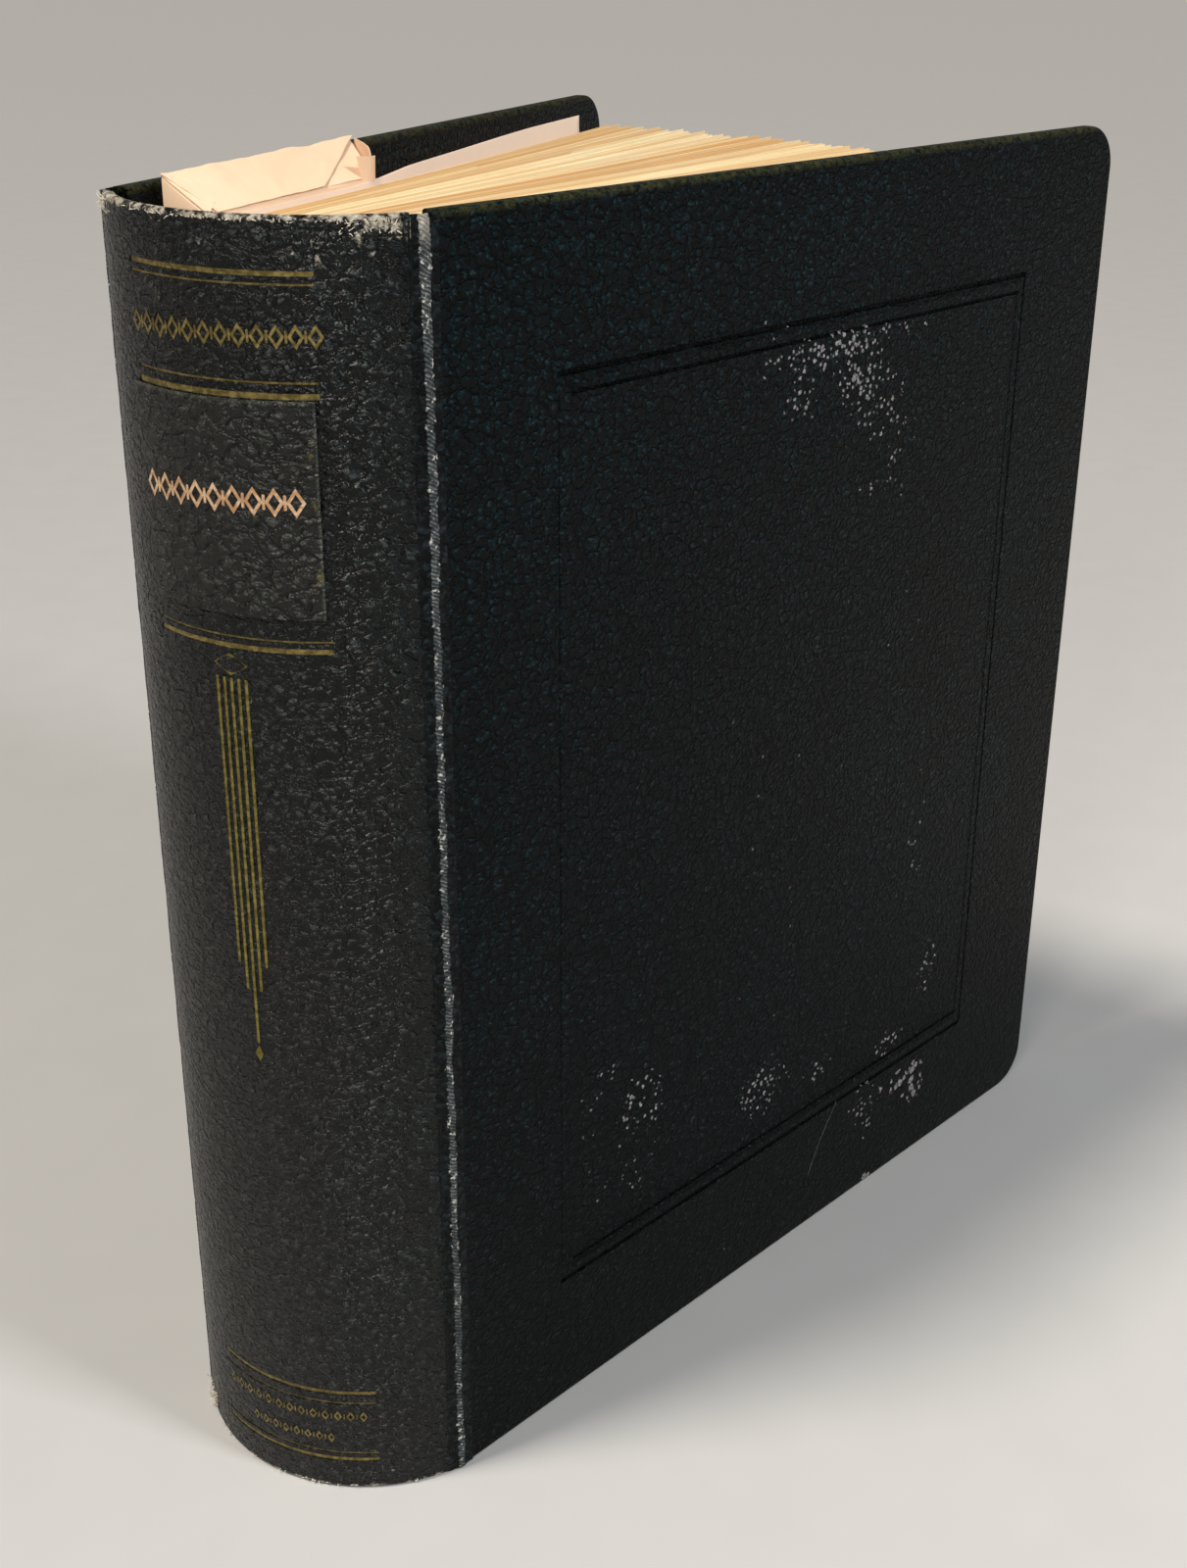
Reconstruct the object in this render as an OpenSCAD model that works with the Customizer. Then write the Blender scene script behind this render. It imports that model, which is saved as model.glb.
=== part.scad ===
// Two-post stamp album with leather-cloth covers, standing upright on its tail edges, fanned partly open.
// Origin: foot of the spine, on its centreline. -Y is the outside of the spine, +X the front cover, +Z the head.

/* [Covers] */
// Height of both covers and of the spine, head to tail
height = 317; // [280:1:340]
// Width of a cover from the spine seam to its fore edge
cover_width = 258.3; // [220:0.1:280]
// Thickness of the grey board inside each cover
board_t = 3.6; // [2.5:0.1:4.5]
// Thickness of the leather cloth over the boards
skin_t = 0.5; // [0.3:0.1:0.8]
// Radius of the two fore-edge corners of each cover
corner_r = 12; // [0:0.5:20]
// Width of the cloth turned in over the boards, on their inner faces
turn_in = 15; // [8:1:20]
// Angle by which the front cover stands open at rest
front_splay = 21.2; // [18:0.1:30]
// Angle by which the back cover stands open at rest
back_splay = 0.5; // [0:0.1:4]

/* [Spine] */
// Straight distance between the two seams of the spine
spine_chord = 75.8; // [70:0.1:80]
// Depth of the spine's outward curve
spine_sagitta = 19.8; // [19:0.1:22]
// Thickness of the curved spine board
spine_board_t = 2; // [1.5:0.1:2.5]
// Thickness of the glued label near the spine's head
label_t = 0.3; // [0.2:0.05:0.5]

/* [Cover hinges] */
// Depth of each hinge axis below the outer faces of cover and spine
axis_inset = 1.9; // [1.8:0.05:2.1]
// Radius of the hinge knuckles
knuckle_r = 1.5; // [1.4:0.05:1.6]
// Radius of the hinge pins
pin_r = 0.8; // [0.6:0.05:0.9]
// Radial clearance between a pin and the knuckles that turn on it
pin_gap = 0.05; // [0.02:0.01:0.1]
// Number of knuckles along each hinge, spine and cover together
knuckles = 10; // [6:2:14]
// Width of the hinge leaf let into each cover board
leaf_w = 22; // [14:1:30]

/* [Binding posts] */
// Distance between the two posts along the spine
post_pitch = 178; // [150:1:200]
// Radius of the posts
post_r = 3.175; // [2.5:0.025:3.5]
// Distance of the posts from the origin, towards the fore edge
post_y = 17; // [16:0.5:18]
// Radial clearance of the holes punched in stubs, fillers and last sheet
hole_gap = 0.15; // [0.05:0.05:0.3]
// Travel of the lock bar from locked to released
lock_travel = 8; // [7:0.5:9]

/* [Leaves] */
// Height of a leaf
leaf_h = 292; // [270:1:296]
// Height of the leaves' lower edge above the tail
leaf_lift = 16; // [12:1:20]
// Length of a leaf from its score line to its fore edge
leaf_len = 216; // [190:1:220]
// Thickness of one bundle of leaves
bundle_t = 2.6; // [1.5:0.1:2.7]
// Number of leaves modelled in one bundle
bundle_leaves = 4; // [2:1:5]

/* [Hidden] */
$fn = 64;
eps = 0.01;
half = spine_chord / 2;
R = (half * half + spine_sagitta * spine_sagitta) / (2 * spine_sagitta);
r_mid = R - skin_t - spine_board_t / 2;
cy = r_mid;                              // centre of the spine's curve
end_a = asin(half / R);                  // half angle of the curve
seam_y = cy - R * cos(end_a);
r_board_in = R - skin_t - spine_board_t;
r_line_in = r_board_in - skin_t;
cover_t = board_t + 2 * skin_t;
hold_back = 3.4;                         // panels stop this far from the seam, to let the covers fold back
back_a = end_a - hold_back / R * 180 / PI;
spine_leaf_t = 0.8;
spine_leaf_a = 34;
hinge_z0 = 6;
knuckle_len = (height - 2 * hinge_z0) / knuckles;
post_zs = [height / 2 - post_pitch / 2, height / 2 + post_pitch / 2];
// Binding stack along the posts, from back to front
back_plate_x = -23.9;
plate_y0 = 9;
plate_t = 1.4;
filler_x0 = -22.4;
filler_pitch = 2.15;
fillers = 3;
front_plate_x = 22.4;
bar_x = front_plate_x + plate_t + 0.1;
bar_t = 1.2;
bar_y = [13.2, 22.4];
neck_r = 1.7;                            // groove behind each post head, which the lock bar grips
head_r = 2.6;
stub_y = [10.5, 33.5];
score_y = 36;
crease_r = 0.35;                         // rounded fold on which each bundle turns
sections = 6;
section_x = [-12.6, -6.2, 0.2, 6.6, 13, 19.4];
section_a = [-1, 4.5, 9.5, 13.5, 17, 20];
stub_half = 3;
// Wrapped packet between the back cover and the leaves: its plan at the near and fore ends, back then front
packet = [[-30.5, 28.6], [-16.9, 25.5], [-16.9, 96.3], [-30.5, 108.5]];
packet_h = 318.3;
packet_slope = 26.2;                     // fall of its head towards the leaves
wrap_t = 0.4;
back_foot_a = [-34.1, -24];
front_foot_a = [21, 34];
foot_t = 1.2;
rivet_zs = [40, 116, 201, 277];

// Turns a flat profile drawn in (y, z) into a plate of thickness t that starts at x
module plate(x, t) {
  translate([x, 0, 0]) rotate([90, 0, 90]) linear_extrude(height = t) children();
}

// Cover outline with two round fore-edge corners
module panel_2d(u0, inset) {
  u1 = cover_width - inset;
  z0 = inset;
  z1 = height - inset;
  r = max(corner_r - inset, 0.5);
  translate([u0, z0]) square([u1 - r - u0, z1 - z0]);
  translate([u1 - r - eps, z0 + r]) square([r + eps, z1 - z0 - 2 * r]);
  for (z = [z0 + r, z1 - r]) translate([u1 - r, z]) circle(r = r);
}

// Sector of a ring about the spine's centre, a0 to a1 measured from -Y towards +X
module arc_shell(r0, r1, a0, a1, z0, z1) {
  translate([0, cy, z0]) rotate([0, 0, a0 - 90])
    rotate_extrude(angle = a1 - a0) translate([r0, 0]) square([r1 - r0, z1 - z0]);
}

// Places a cover: x = 0 is its outer face and +y runs from the seam to the fore edge
module at_front() { translate([half, seam_y, 0]) rotate([0, 0, -front_splay]) children(); }
module at_back() { mirror([1, 0, 0]) translate([half, seam_y, 0]) rotate([0, 0, -back_splay]) children(); }

// Position of a hinge axis, seen in the cover's own frame: u along the cover
function fold(splay) = 90 - end_a - splay;
function axis_u(splay) = axis_inset * tan(fold(splay) / 2);

module knuckle_row(first, r, bore, z_gap) {
  for (k = [first : 2 : knuckles - 1])
    translate([0, 0, hinge_z0 + k * knuckle_len + z_gap / 2]) difference() {
      cylinder(r = r, h = knuckle_len - z_gap);
      if (bore > 0) translate([0, 0, -1]) cylinder(r = bore, h = knuckle_len + 2);
    }
}

module at_axis(splay) { translate([-axis_inset, axis_u(splay), 0]) children(); }

// ---- Spine ----
module spine_board() color([0.45, 0.43, 0.38])
  arc_shell(r_board_in, R - skin_t, -back_a, back_a, skin_t, height - skin_t);

// Outer sheet, folded in over the board's head and tail edges
module spine_skin() color([0.06, 0.09, 0.08])
  translate([0, cy, 0]) rotate([0, 0, -back_a - 90]) rotate_extrude(angle = 2 * back_a) polygon([
    [r_board_in, 0], [R, 0], [R, height], [r_board_in, height], [r_board_in, height - skin_t],
    [R - skin_t, height - skin_t], [R - skin_t, skin_t], [r_board_in, skin_t]]);

module spine_lining() color([0.12, 0.14, 0.12])
  arc_shell(r_line_in, r_board_in - 0.02, -spine_leaf_a, spine_leaf_a, skin_t, height - skin_t);

module spine_label() color([0.07, 0.08, 0.07])
  arc_shell(R, R + label_t, -30.4, 26.1, 235, 281);

// ---- Cover hinges ----
// Leaf that follows the inside of the spine board, with its own knuckles; drawn for the front side
module spine_leaf(splay) {
  difference() {
    arc_shell(r_board_in - spine_leaf_t, r_board_in, spine_leaf_a + 0.3, end_a, hinge_z0, height - hinge_z0);
    translate([half, seam_y, 0]) rotate([0, 0, -splay]) at_axis(splay) {
      knuckle_row(1, knuckle_r + 0.35, 0, -0.6);
      translate([0, 0, -1]) cylinder(r = pin_r, h = height + 2);
    }
  }
  translate([half, seam_y, 0]) rotate([0, 0, -splay]) at_axis(splay) knuckle_row(0, knuckle_r, pin_r, 0.3);
}

module front_spine_leaf() color([0.6, 0.6, 0.58]) spine_leaf(front_splay);
module back_spine_leaf() color([0.6, 0.6, 0.58]) mirror([1, 0, 0]) spine_leaf(back_splay);

module hinge_pin(splay) at_axis(splay) translate([0, 0, hinge_z0 - 1]) cylinder(r = pin_r, h = height - 2 * hinge_z0 + 2);
module front_hinge_pin() color([0.7, 0.7, 0.68]) at_front() hinge_pin(front_splay);
module back_hinge_pin() color([0.7, 0.7, 0.68]) at_back() hinge_pin(back_splay);

module cover_rivets(r) {
  for (z = [25, 91.75, 158.5, 225.25, 292])
    translate([-skin_t - board_t, 14, z]) rotate([0, 90, 0]) cylinder(r = r, h = board_t);
}

module cover_leaf(splay) difference() {
  union() {
    translate([-axis_inset - knuckle_r, axis_u(splay), hinge_z0]) cube([spine_leaf_t, leaf_w - axis_u(splay), height - 2 * hinge_z0]);
    at_axis(splay) knuckle_row(1, knuckle_r, 0, 0.3);
  }
  at_axis(splay) {
    knuckle_row(0, knuckle_r + 0.35, 0, -0.6);
    translate([0, 0, -1]) cylinder(r = pin_r + pin_gap, h = height + 2);
  }
  cover_rivets(1.4);
}

// Cloth strip over the knuckles, from the spine's skin to the cover's skin
module joint_cloth(splay) {
  t = 0.35;
  a = fold(splay);
  reach = hold_back - axis_u(splay);
  steps = [for (k = [0 : 8]) -a + a * k / 8];
  far = axis_inset;
  near = axis_inset - t;
  at_axis(splay) translate([0, 0, skin_t]) linear_extrude(height = height - 2 * skin_t) polygon(concat(
    [[far * cos(a) - (reach - 0.4) * sin(a), -far * sin(a) - (reach - 0.4) * cos(a)]],
    [for (b = steps) [far * cos(b), far * sin(b)]],
    [[far, reach - 0.1], [near, reach - 0.1]],
    [for (k = [8 : -1 : 0]) [near * cos(steps[k]), near * sin(steps[k])]],
    [[near * cos(a) - (reach - 0.4) * sin(a), -near * sin(a) - (reach - 0.4) * cos(a)]]));
}
module front_joint_cloth() color([0.7, 0.7, 0.64]) at_front() joint_cloth(front_splay);
module back_joint_cloth() color([0.7, 0.7, 0.64]) at_back() joint_cloth(back_splay);

// ---- Covers ----
module cover_board() difference() {
  plate(-skin_t - board_t, board_t) panel_2d(hold_back, skin_t);
  translate([-axis_inset - knuckle_r, 0, hinge_z0]) cube([spine_leaf_t, leaf_w, height - 2 * hinge_z0]);
  cover_rivets(1.4);
}
module cover_skin() difference() {
  plate(-cover_t, cover_t) panel_2d(hold_back, 0);
  plate(-skin_t - board_t, board_t) panel_2d(hold_back - 1, skin_t);
  plate(-cover_t - 1, 1 + skin_t) panel_2d(hold_back - 1, turn_in);
}
module cover_lining() plate(-cover_t, skin_t) panel_2d(hold_back, turn_in);

module front_board() color([0.5, 0.48, 0.42]) at_front() cover_board();
module front_skin() color([0.06, 0.09, 0.08]) at_front() cover_skin();
module front_lining() color([0.12, 0.14, 0.12]) at_front() cover_lining();
module front_cover_leaf() color([0.6, 0.6, 0.58]) at_front() cover_leaf(front_splay);
module front_leaf_rivets() color([0.6, 0.6, 0.58]) at_front() cover_rivets(1.4);
module back_board() color([0.5, 0.48, 0.42]) at_back() cover_board();
module back_skin() color([0.06, 0.09, 0.08]) at_back() cover_skin();
module back_lining() color([0.12, 0.14, 0.12]) at_back() cover_lining();
module back_cover_leaf() color([0.6, 0.6, 0.58]) at_back() cover_leaf(back_splay);
module back_leaf_rivets() color([0.6, 0.6, 0.58]) at_back() cover_rivets(1.4);

// ---- Post mechanism ----
module post_bores(x0, x1, r) {
  for (z = post_zs) translate([x0, post_y, z]) rotate([0, 90, 0]) cylinder(r = r, h = x1 - x0);
}

// Four rivets down the middle of a curved foot, from r0 to r1
module foot_rivet_row(a, r0, r1, r) {
  for (z = rivet_zs) translate([0, cy, z]) rotate([0, 0, (a[0] + a[1]) / 2 - 90])
    translate([r0, 0, 0]) rotate([0, 90, 0]) cylinder(r = r, h = r1 - r0);
}

// Upright plate with a curved foot that lies on the spine's lining
module binding_plate(x, y1, a) difference() {
  union() {
    translate([x, plate_y0, 20]) cube([plate_t, y1 - plate_y0, height - 40]);
    arc_shell(r_line_in - foot_t, r_line_in, a[0], a[1], 20, height - 20);
  }
  post_bores(x - 1, x + plate_t + 1, post_r);
  foot_rivet_row(a, r_line_in - foot_t - 1, r_line_in + 1, 1.2);
}
module back_plate() color([0.62, 0.6, 0.55]) binding_plate(back_plate_x, 22.6, back_foot_a);
module front_plate() color([0.62, 0.6, 0.55]) binding_plate(front_plate_x, 26, front_foot_a);
module foot_rivets() color([0.65, 0.63, 0.58]) for (a = [back_foot_a, front_foot_a]) {
  foot_rivet_row(a, r_line_in - foot_t - 0.1, r_line_in - 0.03, 1.2);
  foot_rivet_row(a, r_line_in - foot_t - 0.8, r_line_in - foot_t - 0.07, 2.2);
}

module binding_posts() color([0.7, 0.68, 0.62]) for (z = post_zs) translate([back_plate_x, post_y, z]) rotate([0, 90, 0]) {
  cylinder(r = post_r, h = front_plate_x + plate_t - back_plate_x);
  translate([0, 0, front_plate_x + plate_t - back_plate_x - eps]) cylinder(r = neck_r, h = 0.1 + bar_t + 0.2);
  translate([0, 0, front_plate_x + plate_t - back_plate_x + bar_t + 0.2]) cylinder(r = head_r, h = 1.6);
  translate([0, 0, -0.8]) cylinder(r = 4.6, h = 0.8);
}

module filler_strips() color([0.78, 0.72, 0.58]) for (k = [0 : fillers - 1]) difference() {
  translate([filler_x0 + k * filler_pitch, 11, 22]) cube([filler_pitch - 0.1, 11.2, height - 44]);
  post_bores(filler_x0 - 1, filler_x0 + fillers * filler_pitch, post_r + hole_gap);
}

module lock_bar() color([0.66, 0.64, 0.6]) difference() {
  union() {
    translate([bar_x, bar_y[0], 40]) cube([bar_t, bar_y[1] - bar_y[0], 246]);
    translate([bar_x, bar_y[0], 285.2]) cube([4, bar_y[1] - bar_y[0], 1.2]);
  }
  for (z = post_zs) {
    translate([bar_x - 1, post_y, z]) rotate([0, 90, 0]) cylinder(r = neck_r + 0.3, h = bar_t + 2);
    translate([bar_x - 1, post_y - neck_r - 0.3, z - lock_travel]) cube([bar_t + 2, 2 * neck_r + 0.6, lock_travel]);
    translate([bar_x - 1, post_y, z - lock_travel]) rotate([0, 90, 0]) cylinder(r = head_r + 0.3, h = bar_t + 2);
  }
}

module lock_guides() color([0.62, 0.6, 0.55]) for (z = [120, 190]) {
  translate([front_plate_x + plate_t, bar_y[0] - 1.5, z]) cube([bar_t + 1.4, 1.2, 8]);
  translate([front_plate_x + plate_t, bar_y[1] + 0.3, z]) cube([bar_t + 1.4, 1.2, 8]);
  translate([front_plate_x + plate_t + bar_t + 0.4, bar_y[0] - 1.5, z]) cube([1, bar_y[1] - bar_y[0] + 3, 8]);
}

// ---- Leaves ----
module leaf_stubs() color([0.86, 0.8, 0.66]) for (i = [0 : sections - 1]) difference() {
  union() {
    translate([section_x[i] - stub_half, stub_y[0], leaf_lift]) cube([2 * stub_half, stub_y[1] - stub_y[0], leaf_h]);
    translate([section_x[i] - 0.2, stub_y[1] - eps, leaf_lift]) cube([0.4, score_y - stub_y[1], leaf_h]);
    translate([section_x[i], score_y, leaf_lift]) cylinder(r = crease_r, h = leaf_h);
  }
  post_bores(section_x[i] - 5, section_x[i] + 5, post_r + hole_gap);
}

module leaf_section(i) color([0.87, 0.81, 0.67]) translate([section_x[i], score_y, leaf_lift]) rotate([0, 0, -section_a[i]])
  for (k = [0 : bundle_leaves - 1])
    translate([-bundle_t / 2 + k * bundle_t / bundle_leaves, 0.7, 0])
      cube([bundle_t / bundle_leaves - 0.1, leaf_len - 0.7, leaf_h]);
module leaf_section_1() leaf_section(0);
module leaf_section_2() leaf_section(1);
module leaf_section_3() leaf_section(2);
module leaf_section_4() leaf_section(3);
module leaf_section_5() leaf_section(4);
module leaf_section_6() leaf_section(5);

// Last sheet on the posts: it lies on the packet and leans back to the back cover
module rear_sheet() color([0.84, 0.76, 0.66]) difference() {
  translate([0, 0, 20]) linear_extrude(height = 292) polygon([
    [-16.0, 11], [-16.0, 34], [-16.3, 71], [-16.6, 104], [-22.5, 136], [-28.5, 173], [-33.2, 217], [-33.4, 252],
    [-33.0, 252], [-32.8, 217], [-28.1, 173], [-22.1, 136], [-16.2, 104], [-15.95, 71], [-15.65, 34], [-15.65, 11]]);
  post_bores(-18, -14, post_r + hole_gap);
}

// ---- Wrapped packet ----
module packet_body(inset) difference() {
  translate([0, 0, inset]) linear_extrude(height = packet_h - 2 * inset) polygon([
    [packet[0][0] + inset, packet[0][1] + inset], [packet[1][0] - inset, packet[1][1] + inset],
    [packet[2][0] - inset, packet[2][1] - inset], [packet[3][0] + inset, packet[3][1] - 1.4 * inset]]);
  translate([packet[0][0], 0, packet_h - inset]) rotate([0, packet_slope, 0]) translate([-5, 0, 0]) cube([30, 140, 20]);
}
module packet_wrap() color([0.88, 0.84, 0.76]) difference() {
  packet_body(0);
  packet_body(wrap_t);
}
module packet_filling() color([0.8, 0.74, 0.6]) packet_body(wrap_t);

spine_board();
spine_skin();
spine_lining();
spine_label();
front_spine_leaf();
back_spine_leaf();
front_hinge_pin();
back_hinge_pin();
front_joint_cloth();
back_joint_cloth();
front_board();
front_skin();
front_lining();
front_cover_leaf();
front_leaf_rivets();
back_board();
back_skin();
back_lining();
back_cover_leaf();
back_leaf_rivets();
back_plate();
front_plate();
foot_rivets();
binding_posts();
filler_strips();
lock_bar();
lock_guides();
leaf_stubs();
leaf_section_1();
leaf_section_2();
leaf_section_3();
leaf_section_4();
leaf_section_5();
leaf_section_6();
rear_sheet();
packet_wrap();
packet_filling();
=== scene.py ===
import math
import random

import bpy
from mathutils import Matrix, Vector, noise


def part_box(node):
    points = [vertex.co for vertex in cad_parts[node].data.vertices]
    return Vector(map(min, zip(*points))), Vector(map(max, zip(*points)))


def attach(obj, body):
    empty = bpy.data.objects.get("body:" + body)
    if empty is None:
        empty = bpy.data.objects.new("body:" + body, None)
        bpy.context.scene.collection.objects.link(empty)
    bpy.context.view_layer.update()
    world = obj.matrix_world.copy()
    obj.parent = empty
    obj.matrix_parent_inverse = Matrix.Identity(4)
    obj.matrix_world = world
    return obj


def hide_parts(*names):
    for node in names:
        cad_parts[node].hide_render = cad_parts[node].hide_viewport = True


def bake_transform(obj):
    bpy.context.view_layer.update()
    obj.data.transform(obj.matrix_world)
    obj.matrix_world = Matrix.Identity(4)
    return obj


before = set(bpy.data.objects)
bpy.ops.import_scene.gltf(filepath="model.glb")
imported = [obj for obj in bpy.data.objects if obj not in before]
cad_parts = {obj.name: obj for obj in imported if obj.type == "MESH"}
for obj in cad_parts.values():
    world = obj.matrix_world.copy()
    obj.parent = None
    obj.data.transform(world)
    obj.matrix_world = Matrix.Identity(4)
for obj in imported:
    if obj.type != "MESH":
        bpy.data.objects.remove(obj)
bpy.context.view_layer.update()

# ---- Camera, table and light ----
# The album stands on a plain pale table, seen from above the front cover's side of the spine.
yaw, pitch, roll = math.radians(-21.98), math.radians(-23.09), math.radians(0.74)
ahead = Vector((math.sin(yaw) * math.cos(pitch), math.cos(yaw) * math.cos(pitch), math.sin(pitch)))
right = Vector((math.cos(yaw), -math.sin(yaw), 0))
above = right.cross(ahead)
side = right * math.cos(roll) + above * math.sin(roll)
upward = above * math.cos(roll) - right * math.sin(roll)
view = bpy.data.cameras.new("view")
view.lens, view.sensor_width = 44.32, 36
view.shift_x, view.shift_y = -0.0273, -0.0343
camera = bpy.data.objects.new("view", view)
camera.matrix_world = Matrix((side, upward, -ahead)).transposed().to_4x4()
camera.location = (0.2214, -0.3225, 0.372)
bpy.context.scene.collection.objects.link(camera)
bpy.context.scene.camera = camera


def deselect():
    if bpy.context.object and bpy.context.object.mode != "OBJECT":
        bpy.ops.object.mode_set(mode="OBJECT")
    bpy.ops.object.select_all(action="DESELECT")


def hold(obj):
    """Makes one object the selected and active one."""
    deselect()
    bpy.context.view_layer.objects.active = obj
    obj.select_set(True)


def joined(parts, name):
    """Joins objects into the first of them."""
    deselect()
    for m in parts:
        m.select_set(True)
    bpy.context.view_layer.objects.active = parts[0]
    bpy.ops.object.join()
    bpy.context.object.name = name
    return bpy.context.object


def add(tree, kind, inputs=None, **settings):
    """A shader node with its settings, and its sockets set or linked."""
    n = tree.nodes.new(kind)
    for key, value in settings.items():
        setattr(n, key, value)
    for key, value in (inputs or {}).items():
        if isinstance(value, bpy.types.NodeSocket):
            tree.links.new(value, n.inputs[key])
        else:
            n.inputs[key].default_value = value
    return n


def finish_of(name):
    """An empty material, its node tree and its main shader."""
    made = bpy.data.materials.new(name)
    made.use_nodes = True
    return made, made.node_tree, made.node_tree.nodes["Principled BSDF"]


def calc(tree, operation, a, b=0.0):
    return add(tree, "ShaderNodeMath", {0: a, 1: b}, operation=operation).outputs[0]


def times(tree, a, b):
    return calc(tree, "MULTIPLY", a, b)


def plus(tree, a, b):
    return calc(tree, "ADD", a, b)


def minus(tree, a, b):
    return calc(tree, "SUBTRACT", a, b)


def most(tree, a, b):
    return calc(tree, "MAXIMUM", a, b)


def haze(tree, place, scale, detail=2.0, rough=0.5):
    """A cloudy value from a noise texture."""
    return add(tree, "ShaderNodeTexNoise",
               {"Vector": place, "Scale": scale, "Detail": detail, "Roughness": rough}).outputs["Fac"]


def emboss(tree, shader, height, strength, distance):
    """Bump of a shader from a height."""
    bump = add(tree, "ShaderNodeBump", {"Height": height, "Strength": strength, "Distance": distance})
    tree.links.new(bump.outputs[0], shader.inputs["Normal"])


def fade(tree, value, low, high, to_low=0.0, to_high=1.0):
    """Smooth step of a value between two limits."""
    return add(tree, "ShaderNodeMapRange", {"Value": value, "From Min": low, "From Max": high,
               "To Min": to_low, "To Max": to_high}, interpolation_type="SMOOTHSTEP").outputs[0]


def tint(tree, share, a, b):
    """Colour a turning into colour b by a share."""
    n = add(tree, "ShaderNodeMix", data_type="RGBA")
    for socket, value in ((n.inputs[0], share), (n.inputs[6], a), (n.inputs[7], b)):
        if isinstance(value, bpy.types.NodeSocket):
            tree.links.new(value, socket)
        else:
            socket.default_value = value if not isinstance(value, tuple) else (*value, 1)
    return n.outputs[2]


bpy.context.scene.view_settings.view_transform = "Standard"
deselect()
bpy.ops.mesh.primitive_plane_add(size=60, location=(0, 0, -0.0002))
table = bpy.context.object
table.name = "table"
table_finish, tree, shader = finish_of("pale_table")
grain = add(tree, "ShaderNodeTexNoise", {"Vector": add(tree, "ShaderNodeTexCoord").outputs["Object"], "Scale": 40.0})
tree.links.new(tint(tree, grain.outputs["Fac"], (0.46, 0.45, 0.435), (0.49, 0.48, 0.465)),
               shader.inputs["Base Color"])
shader.inputs["Roughness"].default_value = 0.75
table.data.materials.append(table_finish)

world = bpy.data.worlds.new("room")
world.use_nodes = True
world.node_tree.nodes["Background"].inputs[0].default_value = (0.86, 0.90, 1.0, 1)
world.node_tree.nodes["Background"].inputs[1].default_value = 0.15
bpy.context.scene.world = world
for name, kind, place, aim, power, colour, width in (
        ("key", "SUN", (-0.36, -0.34, 1.0), (0, 0, 0), 2.9, (1.0, 0.94, 0.85), math.radians(12)),
        ("side", "AREA", (1.15, -0.10, 1.05), (0.08, 0.10, 0.20), 14.0, (0.93, 0.97, 1.0), 0.28),
        ("front", "AREA", (0.10, -1.30, 0.95), (0, 0.0, 0.18), 8.0, (1.0, 0.97, 0.92), 0.35)):
    lamp = bpy.data.lights.new(name, kind)
    lamp.energy, lamp.color = power, colour
    if kind == "SUN":
        lamp.angle = width
    else:
        lamp.size = width
    lit = bpy.data.objects.new(name, lamp)
    lit.location = place
    lit.rotation_euler = (Vector(aim) - Vector(place)).to_track_quat("-Z", "Y").to_euler()
    bpy.context.scene.collection.objects.link(lit)

# ---- Cover leather ----
# Each cover is a board wrapped in pebbled leather cloth, turned in on the inner face. A two-line frame is
# pressed into the outer face. The cloth is rubbed to its white backing in patches on the front.
HEIGHT, WIDTH, THICK, HOLD = 0.317, 0.2583, 0.0046, 0.0034  # HOLD: where the board starts, from the seam
CORNER, TURN_IN = 0.012, 0.015
SEAM_X, SEAM_Y = 0.0379, 0.0183
FRONT_SPLAY, BACK_SPLAY = math.radians(21.2), math.radians(0.5)


def own_place(tree, seam, turn):
    """Object coordinates turned into a cover's own: x outwards, y from the seam to the fore edge, z up."""
    return add(tree, "ShaderNodeMapping", {"Vector": add(tree, "ShaderNodeTexCoord").outputs["Object"],
               "Location": (seam[0], seam[1], 0), "Rotation": (0, 0, turn)}, vector_type="TEXTURE").outputs[0]


def pebbles(tree, place, size=1.0, stretch=(1, 1, 1)):
    """Crackled pebble grain: a height from 0 in the creases to 1 on the pebbles, and the fine skin on them."""
    where = add(tree, "ShaderNodeMapping", {"Vector": place, "Scale": stretch}).outputs[0]
    bend = add(tree, "ShaderNodeTexNoise", {"Vector": where, "Scale": 260.0 / size, "Detail": 4.0, "Roughness": 0.62})
    off = add(tree, "ShaderNodeVectorMath", {0: bend.outputs["Color"], 1: (0.5, 0.5, 0.5)}, operation="SUBTRACT")
    off = add(tree, "ShaderNodeVectorMath", {0: off.outputs[0], "Scale": 0.0040 * size}, operation="SCALE")
    bent = add(tree, "ShaderNodeVectorMath", {0: where, 1: off.outputs[0]}, operation="ADD").outputs[0]
    cells = add(tree, "ShaderNodeTexVoronoi", {"Vector": bent, "Scale": 560.0 / size, "Smoothness": 0.45},
                feature="SMOOTH_F1")
    dome = fade(tree, cells.outputs["Distance"], 0.10, 0.62, 1.0, 0.0)
    folds = add(tree, "ShaderNodeTexVoronoi", {"Vector": bent, "Scale": 215.0 / size}, feature="DISTANCE_TO_EDGE")
    wrinkle = fade(tree, folds.outputs["Distance"], 0.0, 0.13)
    fine = haze(tree, place, 2300.0 / size, 3.0)
    high = plus(tree, times(tree, dome, 0.62), times(tree, wrinkle, 0.38))
    return high, fine


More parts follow.
